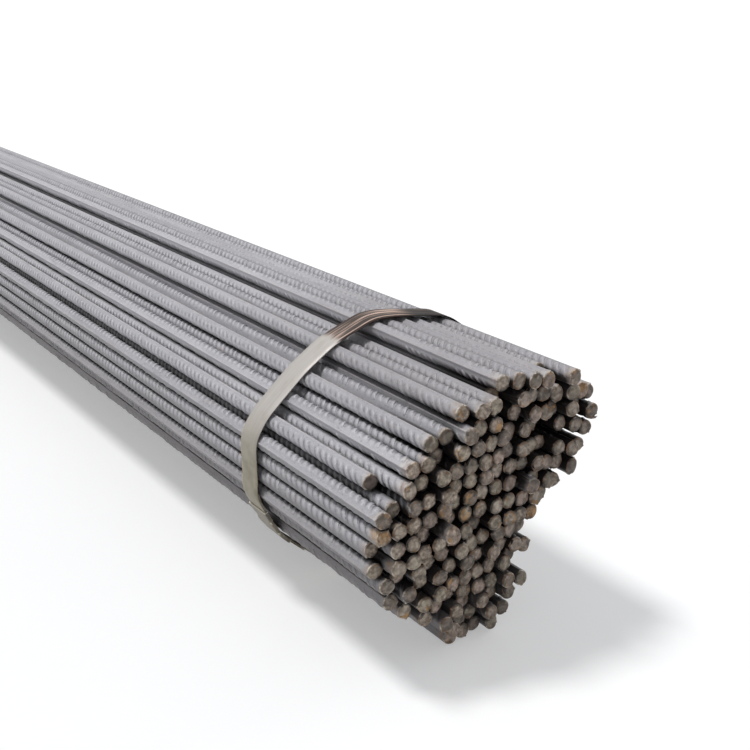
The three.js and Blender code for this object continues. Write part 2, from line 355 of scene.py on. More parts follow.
def mill_scale():
    """Hot-rolled skin: streaked blue-grey scale with specks, pits and a little rust, with painted shade in
    the gaps, hollows and undersides and painted light on crests and upper sides.
    """
    f = Finish("mill scale", metallic=0.12, specular=0.35)
    tone, far_back, from_end, open_sky, tip_rust = (
        f.attribute(name) for name in ("tone", "far_back", "from_end", "open", "tip_rust")
    )
    height = f.split(f.places)[2]
    _, facing_y, facing_z = f.split(f.add("ShaderNodeNewGeometry", out="Normal"))
    ribs, hollows, long_ribs = rib_pattern(f)
    raised = f.math("MAXIMUM", f.attribute("crest"), f.times(ribs, far_back))
    streaks = f.noise(1, 5, at=f.stretched(9, 210, 210))
    smudges = f.noise(1, 4, at=f.stretched(9, 48, 48))
    clouds, grain = f.noise(26, 4), f.noise(700, 2, 0.7)

    # The scale itself, with painted shade in the hollows between the ribs, and lighter on their crests from
    # rubbing and a painted highlight.
    f.color = f.mix(f.range(streaks, 0.30, 0.72), (0.405, 0.404, 0.436), (0.490, 0.475, 0.490))
    f.coat((0.315, 0.312, 0.338), tone, 0.0, 1.0, 0.58)
    f.coat((0.520, 0.506, 0.522), clouds, 0.52, 0.78, 0.40)
    f.coat((0.235, 0.228, 0.244), smudges, 0.48, 0.72, 0.45)
    # Painted highlight, with some rub wear: the crests of the ribs lighter.
    f.coat((0.610, 0.600, 0.622), f.times(raised, 0.36))
    # Painted shade: the hollows between the ribs darkened, a little more where less of the sky is open.
    hollow_shade = f.times(hollows, f.range(open_sky, 0.45, 1.0, 0.95, 0.80))
    f.coat((0.105, 0.100, 0.112), f.times(hollow_shade, f.range(f.noise(75), 0.36, 0.60, 0.35, 1.0)))
    pits = f.range(f.noise(420, 3, 0.65), 0.58, 0.70)
    f.coat((0.120, 0.110, 0.115), f.times(pits, 0.65))
    flecks = f.noise(330, 3, 0.65)
    f.coat((0.680, 0.665, 0.680), flecks, 0.58, 0.70, 0.55)
    # Painted highlight: a patchy light line along the long ribs.
    f.coat((0.640, 0.575, 0.570), f.times(long_ribs, f.range(clouds, 0.35, 0.60, 0.15, 0.60)))
    pink = f.noise(1, 5, 0.7, at=f.stretched(11, 55, 55), distortion=0.6)
    f.coat((0.500, 0.360, 0.330), pink, 0.63, 0.74, 0.55)
    rust = f.noise(70, 6, 0.72, distortion=0.8)
    f.coat((0.270, 0.130, 0.065), rust, 0.71, 0.79, 0.65)

    # The tips, rubbed brown and light, and some of them stained with rust.
    ragged = f.math("MULTIPLY_ADD", f.noise(160, 4, 0.7), 0.030, from_end)
    rubbed = f.range(f.math("MULTIPLY_ADD", tone, 0.010, ragged), *RUBBED_TIP, 1.0, 0.0)
    bare = f.mix(f.range(f.noise(120), 0.42, 0.56), (0.340, 0.240, 0.185), (0.640, 0.580, 0.530))
    f.coat(bare, f.times(rubbed, 0.75))
    stained = f.times(f.range(tip_rust, 0.16, 0.50), rubbed)
    stained = f.times(stained, f.range(f.noise(150, 4, 0.7), 0.38, 0.56))
    f.coat((0.540, 0.310, 0.110), f.times(stained, 0.80))
    f.coat((0.620, 0.615, 0.630), grain, 0.35, 0.65, 0.22)

    # Painted shade on the undersides and the low bars; up high, painted light on the sides and painted shade
    # on the tops that face +Y and on the tops near the ends.
    upper = f.times(f.range(height, *UPPER_BARS), f.range(from_end, *UPPER_TIP_FADE))
    # Painted shade: surfaces that face sideways or down darker, most on the low bars.
    under = f.times(f.range(height, *SHADED_BARS, 0.50, 0.14), f.range(facing_z, -0.25, 0.70, 1.0, 0.0))
    f.coat((0.185, 0.176, 0.184), under)
    # Painted light: on the upper bars, away from the tips, the sides and undersides lighter.
    f.coat((0.700, 0.690, 0.715), f.times(upper, f.range(facing_z, -0.10, 0.45, 0.60, 0.0)))
    # Painted shade: on the high bars, the tops that lean towards +Y darker.
    crown = f.times(f.range(height, *CROWN_BARS), f.range(facing_z, 0.35, 0.75))
    f.coat((0.150, 0.146, 0.160), f.times(crown, f.range(facing_y, -0.16, 0.30, 0.0, 0.74)))
    # Painted shade: the tops of the highest bars darker near their ends.
    top_end_shade = f.times(f.range(from_end, *TOP_END_SHADE_RUN, 1.0, 0.0), f.range(height, *TOP_END_SHADE_BARS, 0.0, 0.42))
    f.coat((0.262, 0.240, 0.246), top_end_shade)
    # Painted shade: the lowest bars darker, fading out with height.
    low = f.math("MULTIPLY_ADD", clouds, 0.04, height)
    f.coat((0.172, 0.150, 0.143), f.range(low, *LOW_BARS, 0.60, 0.0))

    # Painted shade in the gaps, where little of the sky is open: darkest on the lower bars and near the tips,
    # lighter on the upper bars, and weaker near the floor.
    sheltered = f.math("MULTIPLY_ADD", raised, 0.10, open_sky)
    deep, upper_gap_shade = f.range(sheltered, 0.14, 0.66, 1.0, 0.0), f.range(sheltered, 0.30, 0.75, 0.22, 0.0)
    gap_shade = f.math("MULTIPLY_ADD", f.math("SUBTRACT", upper_gap_shade, deep), upper, deep)
    f.coat((0.018, 0.014, 0.013), f.times(gap_shade, f.range(height, *GAP_SHADE_NEAR_FLOOR, 0.60, 1.0)))

    roughness = f.range(f.math("MULTIPLY_ADD", pits, 0.4, streaks), 0.3, 1.0, 0.50, 0.74)
    normal = f.bump(f.times(ribs, far_back), RIB_HEIGHT)
    normal = f.bump(f.math("MULTIPLY_ADD", pits, -1.2, grain), 0.18 * MM, normal, 0.6)
    return f.finish(roughness, normal)


def sheared_steel():
    """Cut end of a bar: mottled brown-grey and torn in arcs, with a worn bright rim that starts to rust, a
    painted highlight on that rim where the sky is open and painted shade round it where neighbours close in.
    """
    f = Finish("sheared steel", metallic=0.10)
    tone, tip_rust, open_sky, rim, along, across = (
        f.attribute(name) for name in ("tone", "tip_rust", "open", "rim", "cut_along", "cut_across")
    )
    arc = f.math("MULTIPLY_ADD", f.times(across, across), 0.35, along)
    arc = f.math("MULTIPLY_ADD", f.noise(130), 1.6, arc)
    tears = f.math("MULTIPLY_ADD", f.math("SINE", f.times(arc, 9.0)), 0.5, 0.5)
    tears = f.times(tears, f.range(f.noise(210), 0.35, 0.65))
    clouds, mottle, grime = f.noise(150, 4), f.noise(330, 4, 0.7), f.noise(60)
    hue = f.math("FRACT", f.times(tone, 7.3))

    f.color = f.mix(f.range(mottle, 0.38, 0.62), (0.320, 0.248, 0.190), (0.630, 0.520, 0.420))
    f.coat((0.610, 0.510, 0.415), f.times(tears, 0.30))
    f.coat((0.520, 0.370, 0.320), hue, 0.55, 0.95, 0.50)
    f.coat((0.400, 0.362, 0.262), f.range(hue, 0.05, 0.45, 0.50, 0.0))
    f.coat((0.185, 0.150, 0.128), tone, 0.50, 1.00, 0.75)
    f.coat((0.700, 0.600, 0.500), f.range(tone, 0.00, 0.25, 0.40, 0.0))
    f.coat((0.640, 0.560, 0.470), clouds, 0.54, 0.72, 0.55)
    f.coat((0.110, 0.088, 0.072), grime, 0.50, 0.66, 0.60)
    shaded_side = f.split(f.places)[1]
    f.coat((0.110, 0.092, 0.080), shaded_side, -0.05, 0.08, 0.42)
    rusty = f.math("MULTIPLY_ADD", rim, 0.07, f.noise(60, 4))
    rusty = f.math("MULTIPLY_ADD", tone, -0.10, rusty)
    f.coat((0.520, 0.290, 0.110), f.math("MULTIPLY_ADD", tip_rust, 0.12, rusty), 0.61, 0.70, 0.75)
    # Painted shade: the rim darkened where neighbours close in.
    rim_shade = f.times(f.range(open_sky, 0.05, 0.80, 0.95, 0.0), f.range(rim, 0.60, 0.96))
    f.coat((0.030, 0.024, 0.021), rim_shade)
    browned = f.times(f.range(rim, 0.62, 0.86), f.range(f.noise(95), 0.44, 0.58, 0.0, 0.60))
    f.coat((0.330, 0.195, 0.115), browned)
    # Worn bright rim with a painted highlight: brighter where more of the sky is open.
    worn_rim_and_highlight = f.times(f.range(rim, 0.80, 0.97), f.range(f.noise(170), 0.40, 0.56))
    f.coat((0.760, 0.680, 0.580), f.times(worn_rim_and_highlight, f.range(open_sky, 0.05, 0.50, 0.15, 0.85)))
    normal = f.bump(f.noise(700), 0.2 * MM, f.bump(tears, 0.5 * MM), 0.7)
    return f.finish(f.range(clouds, 0.2, 0.8, 0.42, 0.72), normal)


def strap_steel():
    """Dull pale strapping, olive low down, brown and striped over the top with painted shade along its edges
    there, painted shade past the top, and golden along one edge low down.
    """
    f = Finish("strap steel", metallic=0.20, specular=0.30)
    across, top, past, low = (f.attribute(name) for name in ("across", "top", "past", "low"))
    lines = f.noise(1, 4, at=f.stretched(700, 12, 12))
    stripes = f.range(f.noise(1, at=f.stretched(330, 9, 9)), 0.45, 0.57)
    clouds = f.noise(60, 4)
    ragged_top = f.math("MULTIPLY_ADD", f.math("SUBTRACT", lines, 0.5), 0.6, top)

    f.color = f.mix(f.range(lines, 0.3, 0.7), (0.440, 0.410, 0.380), (0.500, 0.468, 0.436))
    f.coat((0.380, 0.345, 0.298), clouds, 0.5, 0.8, 0.5)
    f.coat(f.mix(f.range(clouds, 0.3, 0.7), (0.245, 0.219, 0.156), (0.385, 0.352, 0.276)), low)
    brown = f.mix(stripes, (0.026, 0.013, 0.009), (0.620, 0.450, 0.370))
    f.coat(brown, ragged_top, 0.24, 0.60, 0.92)
    # Painted shade along both edges of the strap, over the top.
    edge_shade = f.range(f.math("ABSOLUTE", across), 0.70, 0.92)
    f.coat((0.022, 0.012, 0.009), f.times(edge_shade, f.range(ragged_top, 0.20, 0.55, 0.0, 0.92)))
    edge = f.times(f.range(across, 0.90, 0.98), low)
    f.coat((0.640, 0.500, 0.270), f.times(edge, f.range(clouds, 0.25, 0.50)))
    # Painted shade: the strap dark past the top, where it turns away.
    f.coat((0.014, 0.012, 0.011), f.times(past, f.range(clouds, 0.30, 0.70, 0.97, 0.86)))
    roughness = f.math("MULTIPLY_ADD", top, 0.25, f.range(clouds, 0.2, 0.8, 0.40, 0.60))
    return f.finish(roughness, f.bump(lines, 0.1 * MM))


def seal_steel():
    """Duller than the strap, with bright scuffs, bright lips and bright nicks where the crimping tool bit."""
    f = Finish("seal steel", metallic=0.30)
    clouds, scuffs = f.noise(90, 5), f.noise(260, 4, 0.7)
    f.color = f.mix(f.range(clouds, 0.35, 0.65), (0.150, 0.132, 0.102), (0.270, 0.240, 0.190))
    f.coat((0.460, 0.420, 0.350), scuffs, 0.60, 0.72, 0.7)
    f.coat((0.700, 0.660, 0.570), f.attribute("nip"), 0.55, 0.95, 0.85)
    f.coat((0.720, 0.660, 0.560), f.math("ABSOLUTE", f.attribute("lip")), 0.965, 0.985, 0.9)
    return f.finish(f.range(clouds, 0.2, 0.8, 0.36, 0.60), f.bump(f.noise(500), 0.15 * MM))


def studio_floor():
    """Pale floor that looks white where nothing shades it, and throws less light back than white would."""
    f = Finish("studio floor")
    f.color = f.mix(f.noise(3, 2, 0.55), (0.63, 0.63, 0.63), (0.65, 0.65, 0.65))
    f.shader.inputs["Emission Color"].default_value = WHITE
    f.put(f.shader.inputs["Emission Strength"], f.times(seen_directly(f), FLOOR_GLOW))
    return f.finish(0.9)


# ---- Camera, light and floor -------------------------------------------------

def make_camera():
    data = bpy.data.cameras.new("camera")
    data.lens = FOCAL_LENGTH
    data.sensor_width = SENSOR_WIDTH
    data.clip_end = VIEW_REACH
    camera = bpy.data.objects.new("camera", data)
    camera.location = CAMERA_PLACE
    camera.rotation_euler = (math.radians(90 - CAMERA_ELEVATION), 0, math.radians(CAMERA_AZIMUTH))
    bpy.context.collection.objects.link(camera)
    bpy.context.scene.camera = camera


def add_sun(name, azimuth, elevation, strength, softness):
    data = bpy.data.lights.new(name, "SUN")
    data.energy = strength
    data.angle = math.radians(softness)
    lamp = bpy.data.objects.new(name, data)
    lamp.rotation_euler = (math.radians(90 - elevation), 0, math.radians(azimuth))
    bpy.context.collection.objects.link(lamp)


def make_world():
    world = bpy.data.worlds.new("studio")
    world.use_nodes = True
    nodes = Nodes(world.node_tree)
    light = nodes.tree.nodes["Background"]
    light.inputs["Color"].default_value = SKY_COLOR
    light.inputs["Strength"].default_value = SKY_STRENGTH
    seen = nodes.add("ShaderNodeBackground", {"Color": WHITE})
    blend = nodes.add("ShaderNodeMixShader", (seen_directly(nodes), light.outputs[0], seen))
    nodes.put(nodes.tree.nodes["World Output"].inputs["Surface"], blend)
    bpy.context.scene.world = world


def make_floor():
    mesh = bpy.data.meshes.new("floor")
    half = FLOOR_SIDE / 2
    corners = [(-half, -half, 0), (half, -half, 0), (half, half, 0), (-half, half, 0)]
    mesh.from_pydata(corners, [], [(0, 1, 2, 3)])
    add_object("floor", mesh, studio_floor())


# ---- Bars, as the frame places them ------------------------------------------

class Bar:
    """One bar: its axis and ends, from the frame, and what chance gives it."""

    def __init__(self, y, z, near, random):
        self.y = y
        self.z = z
        self.near = near
        self.far = near - BAR_LENGTH
        self.roll = random.uniform(0, 2 * math.pi)
        self.tone = random.uniform(0, 1)
        self.cut_turn = random.uniform(0, 2 * math.pi)
        self.tip_rust = random.uniform(0, 1) ** 3
        self.first_rib = near - random.uniform(FIRST_RIB, FIRST_RIB + RIB_PITCH)
        self.random = random
        self.open_angles = []


def centres_of(bars):
    return np.array([(bar.y, bar.z) for bar in bars])


def bars_of(node, number):
    """One bar for each end face at +X. Its top and bottom flats, which no neighbour meets, give its axis."""
    points = points_of(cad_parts[node].data)
    ends = points[points[:, 0] > 0]
    bars = []
    for end in np.unique(ends[:, 0].round(5)):
        rim = ends[abs(ends[:, 0] - end) < LEVEL]
        top, bottom = rim[:, 2].max(), rim[:, 2].min()
        if top - bottom < WHOLE_END * BAR_WIDTH:
            continue
        flat = rim[rim[:, 2] > top - LEVEL]
        random = np.random.default_rng([number, len(bars)])
        bars.append(Bar(flat[:, 1].mean(), (top + bottom) / 2, end, random))
    return sorted(bars, key=lambda bar: bar.y)


def stopped(starts, ways, others):
    """Whether each way, from its own start, meets one of the other bars."""
    apart = others[None, :, :] - starts[:, None, :]
    ahead = np.einsum("ijk,ik->ij", apart, ways)
    aside = abs(apart[:, :, 0] * ways[:, None, 1] - apart[:, :, 1] * ways[:, None, 0])
    return np.any((ahead > 0) & (aside < CORE_RADIUS), axis=1)


def find_open_angles(bars):
    """Directions in which a bar looks straight out of the bundle."""
    centres, ways = centres_of(bars), ways_at(LOOKS)
    for index, bar in enumerate(bars):
        others = np.delete(centres, index, axis=0) - centres[index]
        bar.open_angles = list(LOOKS[~stopped(0 * ways, ways, others)])


def is_outer(bar):
    return bool(bar.open_angles)


def openness_round(others):
    """Share of the directions out of each side of a bar that no other bar, placed from its axis, stops."""
    starts = CORE_RADIUS * ways_at(LOOKS)
    shares = [math.cos(off) * ~stopped(starts, ways_at(LOOKS + off), others) for off in OPEN_RAYS]
    return sum(shares) / sum(math.cos(off) for off in OPEN_RAYS)


def find_openness(bars):
    """Openness of every bar at stations from each end inwards, as bar.openness[end][station][turn]."""
    centres = centres_of(bars)
    reaches = np.array([(bar.near, -bar.far) for bar in bars])
    for index, bar in enumerate(bars):
        gaps = np.hypot(*(centres - centres[index]).T)
        around = (gaps > 0) & (gaps < OPEN_REACH)
        bar.openness = []
        for ends in reaches.T:
            limits = [ends[index] - back - OPEN_SLANT for back in OPEN_STATIONS]
            rounds = [openness_round(centres[around & (ends > limit)] - centres[index]) for limit in limits]
            bar.openness.append(rounds)


def store_openness(mesh, bars):
    """Gives every point of a mesh of bars the openness of its place, for the painted shade in the gaps and
    the rest of the finish there.
    """
    points = points_of(mesh)
    away = points[:, None, 1:] - centres_of(bars)[None, :, :]
    owners = np.argmin(np.hypot(away[:, :, 0], away[:, :, 1]), axis=1)
    values = np.zeros(len(points))
    for index, bar in enumerate(bars):
        mine = owners == index
        x, (y, z) = points[mine, 0], away[mine, index].T
        is_far = x < (bar.near + bar.far) / 2
        back = np.where(is_far, x - bar.far, bar.near - x)
        turn = np.degrees(np.arctan2(z, y)) % 360 / LOOK_STEP
        station = np.interp(back, OPEN_STATIONS, np.arange(len(OPEN_STATIONS)))
        openness = np.array(bar.openness)
        for on, up in ((0, 0), (0, 1), (1, 0), (1, 1)):
            column = (turn.astype(int) + on) % len(LOOKS)
            row = np.minimum(station.astype(int) + up, len(OPEN_STATIONS) - 1)
            share = abs(1 - on - turn % 1) * abs(1 - up - station % 1)
            values[mine] += share * openness[is_far.astype(int), row, column]
    store(mesh, "open", values)


# ---- Bar bodies --------------------------------------------------------------

def bar_section():
    """Turn and radius of each point round a bar, from one of its long ribs."""
    ridge = CORE_RADIUS + LONG_RIB_HEIGHT
    foot, top = math.radians(LONG_RIB_FOOT), math.radians(LONG_RIB_TOP)
    half = [(-foot, CORE_RADIUS), (-top, ridge), (top, ridge), (foot, CORE_RADIUS)]
    between = np.linspace(foot, math.pi - foot, CORE_STEPS + 1)[1:-1]
    half += [(turn, CORE_RADIUS) for turn in between]
    return np.array([(turn + side * math.pi, radius) for side in (0, 1) for turn, radius in half])


SECTION = bar_section()


class ShearedEnd:
    """How the shears left one end: tilted, rolled over on one side and with a lip on the other."""

    def __init__(self, random):
        self.way = random.uniform(0, 2 * math.pi)
        self.tilt = random.uniform(0.1, 1.1) * MM
        self.rolled = random.uniform(0.2, 1.5) * MM
        self.lip = random.uniform(0.0, 1.1) * MM * (random.uniform() < 0.6)
        self.dome = random.uniform(-0.1, 0.5) * MM
        self.wave = random.uniform(0, 2 * math.pi)
        self.squash = random.uniform(0.0, 0.06)
        self.burr = random.uniform(0.005, 0.030)

    def flare(self, turns):
        """How much further out each point of the rim is than it was before the cut, as a share."""
        side = turns - self.way
        dents = self.burr * (np.sin(3 * turns + self.wave) + 0.7 * np.sin(5 * turns - self.wave))
        return END_SWELL + dents - self.squash * np.cos(2 * side)

    def reach(self, turns, share):
        """How far each point of a ring stands out past the mean end."""
        side = share * np.cos(turns - self.way)
        out = self.tilt * side + self.dome * (1 - share ** 2)
        out -= self.rolled * smooth(side, 0.25, 1.0)
        out += self.lip * smooth(-side, 0.6, 1.0) * smooth(share, 0.8, 1.0)
        out -= END_ROUND * smooth(share, 0.84, 1.0)
        return out + END_RIPPLE * share * np.sin(3 * turns + self.wave)


def side_places(bar):
    """Places between a bar's ends that need a ring, where real ribs give way to bump and back."""
    change = bar.near - (RIB_RUN if is_outer(bar) else STUB_RUN)
    stub = bar.far + STUB_RUN
    middle = (bar.near + bar.far) / 2
    return [(stub, 0.0), (stub + RIB_PITCH, 1.0), (middle, 1.0), (change - RIB_PITCH, 1.0), (change, 0.0)]


def bar_rings(bar):
    """Rings of points from the far end to the near one, each with what its finish needs to know."""
    turns = SECTION[:, 0] + bar.roll
    near_end, far_end = ShearedEnd(bar.random), ShearedEnd(bar.random)
    stops = [(share, 0.0) for share in END_RINGS] + [(1.0, back) for back in SIDE_STATIONS]
    rings = []

    def ring(x, swell=0.0, share=1.0, from_end=1.0, far_back=0.0):
        width = share * SECTION[:, 1] * (1 + swell)
        y, z = bar.y + width * np.cos(turns), bar.z + width * np.sin(turns)
        facts = {"from_end": from_end, "far_back": far_back, "rim": share}
        rings.append((np.column_stack([np.broadcast_to(x, y.shape), y, z]), facts))

    def end_ring(cut, x, outward, share, back):
        out = (1 - smooth(back, 0.0, CUT_FADE)) * cut.reach(turns, share)
        swell = cut.flare(turns) * (1 - smooth(back, *FLARE_RUN))
        ring(x + outward * (out - back), swell, share, from_end=back)

    for share, back in stops:
        end_ring(far_end, bar.far, -1, share, back)
    for x, far_back in side_places(bar):
        ring(x, from_end=min(x - bar.far, bar.near - x), far_back=far_back)
    for share, back in reversed(stops):
        end_ring(near_end, bar.near, 1, share, back)
    return rings


def bars_mesh(name, bars):
    """One mesh of all the bars of a layer, with a wrap map and the values that the finishes read."""
    points, faces, finishes, wraps = [], [], [], []
    keys = ("tone", "tip_rust", "from_end", "rim", "far_back", "cut_along", "cut_across")
    values = {key: [] for key in keys}
    around = len(SECTION)
    turn_share = np.append(SECTION[:, 0], SECTION[0, 0] + 2 * math.pi) / (2 * math.pi)
    for bar in bars:
        rings = bar_rings(bar)
        first = len(points)
        for ring, facts in rings:
            points.extend(ring)
            for key, value in {"tone": bar.tone, "tip_rust": bar.tip_rust, **facts}.items():
                values[key].extend([value] * around)
            for key, part in zip(("cut_along", "cut_across"), ways_at(SECTION[:, 0] + bar.cut_turn).T):
                values[key].extend(facts["rim"] * CORE_RADIUS / MM * part)
        caps = len(END_RINGS)
        for step in range(len(rings) - 1):
            is_cap = step < caps or step >= len(rings) - 1 - caps
            low, high = rings[step][0][0, 0] - bar.first_rib, rings[step + 1][0][0, 0] - bar.first_rib
            for k in range(around):
                at, beside = first + step * around + k, first + step * around + (k + 1) % around
                faces.append((at, beside, beside + around, at + around))
                finishes.append(int(is_cap))
                left, right = turn_share[k], turn_share[k + 1]
                wraps.extend([(low, left), (low, right), (high, right), (high, left)])
        for ring_start, order in ((first, -1), (first + (len(rings) - 1) * around, 1)):
            points.append(np.mean(points[ring_start:ring_start + around], axis=0))
            for key, column in values.items():
                column.append(getattr(bar, key, 0.0))
            for k in range(around):
                edge = (ring_start + k, ring_start + (k + 1) % around)[::order]
                faces.append((*edge, len(points) - 1))
                finishes.append(1)
                wraps.extend([(0.0, 0.0)] * 3)
    mesh = bpy.data.meshes.new(name)
    mesh.from_pydata([tuple(p) for p in points], [], faces)
    mesh.shade_smooth()
    mesh.polygons.foreach_set("material_index", finishes)
    mesh.uv_layers.new(name="wrap").data.foreach_set("uv", np.array(wraps).ravel())
    for key, numbers in values.items():
        store(mesh, key, numbers)
    return mesh


# ---- Crescent ribs -----------------------------------------------------------

def rib_mesh():
    """One crescent rib over the top of a bar along X: a bent, flat-topped wedge that ends in points."""
    points, faces, crests = [], [], []
    foot = CORE_RADIUS - SKIN_SINK
    arc = math.radians(RIB_ARC)
    for step in range(RIB_STEPS + 1):
        turn = arc * (2 * step / RIB_STEPS - 1)
        middle = RIB_LEAN * CORE_RADIUS * turn
        if step in (0, RIB_STEPS):
            places = [(middle, foot)]
        else:
            rise = math.cos(math.pi / 2 * turn / arc) ** 0.8
            crest = CORE_RADIUS + RIB_HEIGHT * rise
            half, top = RIB_WIDTH / 2 * (1 - RIB_TAPER + RIB_TAPER * rise), RIB_CREST / 2
            profile = ((-half, foot), (-top, crest), (top, crest), (half, foot))
            places = [(middle + off, radius) for off, radius in profile]
        for x, radius in places:
            points.append((x, -radius * math.sin(turn), radius * math.cos(turn)))
            crests.append(float(radius > CORE_RADIUS))
    last = len(points) - 1
    edges = [(k, (k + 1) % 4) for k in range(4)]
    for a in range(1, last - 4, 4):
        faces.extend((a + k, a + m, a + 4 + m, a + 4 + k) for k, m in edges)
    for k, m in edges:
        faces.extend([(0, 1 + m, 1 + k), (last - 4 + k, last - 4 + m, last)])
    mesh = bpy.data.meshes.new("crescent rib")
    mesh.from_pydata(points, [], faces)
    mesh.shade_smooth()
    store(mesh, "crest", crests)
    return mesh


def rib_tree():
    """Adds rows of ribs to a mesh of bars: one row for each point of another mesh, turned about X."""
    t = Tree(
        "rows of ribs", Rows="Object", Rib="Object", Pitch="Float", Run="Float",
        Worn="Float", Seed="Int", Material="Material",
    )
    given = t.inputs
    count = t.math("FLOOR", t.math("DIVIDE", given["Run"], given["Pitch"]))
    back = t.add("ShaderNodeCombineXYZ", {"X": t.times(given["Pitch"], -1.0)})
    line = t.add("GeometryNodeMeshLine", {"Count": count, "Offset": back}, mode="OFFSET")
    spread = {"Min": t.math("SUBTRACT", 1.0, given["Worn"]), "Max": 1.0, "Seed": given["Seed"]}
    height = t.add("FunctionNodeRandomValue", spread, data_type="FLOAT")
    size = t.add("ShaderNodeCombineXYZ", (1.0, height, height))
    rib = t.geometry_of(given["Rib"])
    run = t.add("GeometryNodeInstanceOnPoints", {"Points": line, "Instance": rib, "Scale": size})
    rows = t.geometry_of(given["Rows"])
    turn = t.add("ShaderNodeCombineXYZ", {"X": t.attribute("turn")})
    turned = t.add("GeometryNodeInstanceOnPoints", {"Points": rows, "Instance": run, "Rotation": turn})
    ribs = t.add("GeometryNodeRealizeInstances", (turned,))
    x = t.split(t.add("GeometryNodeInputPosition"))[0]
    from_end = t.math("ABSOLUTE", t.math("SUBTRACT", x, t.attribute("end")))
    ribs = t.add("GeometryNodeStoreNamedAttribute", {"Geometry": ribs, "Name": "from_end", "Value": from_end})
    ribs = t.add("GeometryNodeSetMaterial", {"Geometry": ribs, "Material": given["Material"]})
    join = t.tree.nodes.new("GeometryNodeJoinGeometry")
    t.put(join.inputs[0], given["Geometry"])
    t.put(join.inputs[0], ribs)
    return t.shown(join.outputs[0])


def row_points(name, rows):
    """A point for each row of ribs: where its first rib is, its turn about X, its bar's end and tone."""
    mesh = bpy.data.meshes.new(name)
    mesh.from_pydata([row[0] for row in rows], [], [])
    for index, key in enumerate(("turn", "end", "tone", "tip_rust"), start=1):
        store(mesh, key, [row[index] for row in rows])
    return add_object(name, mesh)


def looks_out(bar, way):
    """Whether a rib centred on that side of a bar can be seen from outside."""
    reach = math.radians(RIB_ARC)
    return any(math.cos(angle - way) > math.cos(reach) for angle in bar.open_angles)


def rib_rows(bars):
    """Rows of ribs that run far back from the near end, and the short rows at all the other ends."""
    runs, stubs = [], []
    for bar in bars:
        for side in (0, 1):
            turn = bar.roll + side * math.pi
            near = bar.first_rib - side * RIB_PITCH / 2
            far = near - math.floor((near - bar.far - STUB_RUN) / RIB_PITCH) * RIB_PITCH
            rows = runs if looks_out(bar, turn + math.pi / 2) else stubs
            for kept, x, end in ((rows, near, bar.near), (stubs, far, bar.far)):
                kept.append(((x, bar.y, bar.z), turn, end, bar.tone, bar.tip_rust))
    return runs, stubs


def make_layer(number, bars, tree, rib, finishes):
    name = f"layer_{number:02d}_bars"
    piece = add_object(name, bars_mesh(name, bars), *finishes)
    runs, stubs = rib_rows(bars)
    helpers = [row_points(f"{name}_long", runs), row_points(f"{name}_stub", stubs)]
    for seed, (helper, run) in enumerate(zip(helpers, (RIB_RUN, STUB_RUN))):
        add_tree(piece, tree, {
            "Rows": helper, "Rib": rib, "Pitch": RIB_PITCH, "Run": run,
            "Worn": RIB_WORN, "Seed": 2 * number + seed, "Material": finishes[0],
        })
    settle(piece)
    store_openness(piece.data, bars)
    for helper in helpers:
        bpy.data.objects.remove(helper)
    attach(piece, "root")
    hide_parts(f"bar_layer_{number:02d}")


# ---- The line of the bands ---------------------------------------------------

def eased(corners):
    """The line with its bends eased, as stiff strapping lies, and moved out until it clears every corner."""
    closed = np.vstack([corners, corners[:1]])
    runs = np.append(0, np.cumsum(np.hypot(*np.diff(closed, axis=0).T)))
    stops = np.arange(0, runs[-1], STRAP_STEP)
    line = np.column_stack([np.interp(stops, runs, closed[:, k]) for k in (0, 1)])
    offsets = np.arange(-3 * STRAP_EASE, 3 * STRAP_EASE, STRAP_STEP)
    weights = np.exp(-0.5 * (offsets / STRAP_EASE) ** 2)
    steps = np.round(offsets / STRAP_STEP).astype(int)
    soft = sum(w * np.roll(line, k, axis=0) for w, k in zip(weights / weights.sum(), steps))
    along = np.roll(soft, -1, axis=0) - np.roll(soft, 1, axis=0)
    outward = np.column_stack([along[:, 1], -along[:, 0]]) / np.hypot(*along.T)[:, None]
    return soft + outward * np.max(np.sum((line - soft) * outward, axis=1))


class WrapLine:
    """The line of a strap round the bars, anticlockwise seen from +X, with the distance run along it."""

    def __init__(self, bars):
        radius = BAR_WIDTH / 2 + BAND_PLAY
        rims = [
            (bar.y + radius * math.cos(a), bar.z + radius * math.sin(a))
            for bar in filter(is_outer, bars)
            for a in np.radians(np.arange(0, 360, RIM_STEP))
        ]
        corners = np.array([rims[k] for k in convex_hull_2d(rims)])
        ahead = np.roll(corners, -1, axis=0)
        area = np.sum(corners[:, 0] * ahead[:, 1] - ahead[:, 0] * corners[:, 1])
        corners = eased(corners if area > 0 else corners[::-1])
        edges = np.roll(corners, -1, axis=0) - corners
        lengths = np.hypot(*edges.T)
        sides = np.column_stack([edges[:, 1], -edges[:, 0]]) / lengths[:, None]
        normals = sides + np.roll(sides, 1, axis=0)
        normals /= np.hypot(*normals.T)[:, None]
        self.runs = np.append(0, np.cumsum(lengths))
        self.length = self.runs[-1]
        self.corners = np.vstack([corners, corners[:1]])
        self.normals = np.vstack([normals, normals[:1]])
        self.middle = corners.mean(axis=0)

    def at(self, run):
        """Place and outward direction at a distance run, more than one turn included."""
        run = run % self.length
        place, normal = (
            np.array([np.interp(run, self.runs, column) for column in rows.T])
            for rows in (self.corners, self.normals)
        )
        return place, normal / np.hypot(*normal)

    def run_at(self, degrees):
        """Distance run to where the line crosses a ray from the middle."""
        ray = ways_at([math.radians(degrees)])[0]
        ways = self.corners - self.middle
        return self.runs[np.argmax(ways @ ray / np.hypot(*ways.T))]


# ---- Bands -------------------------------------------------------------------

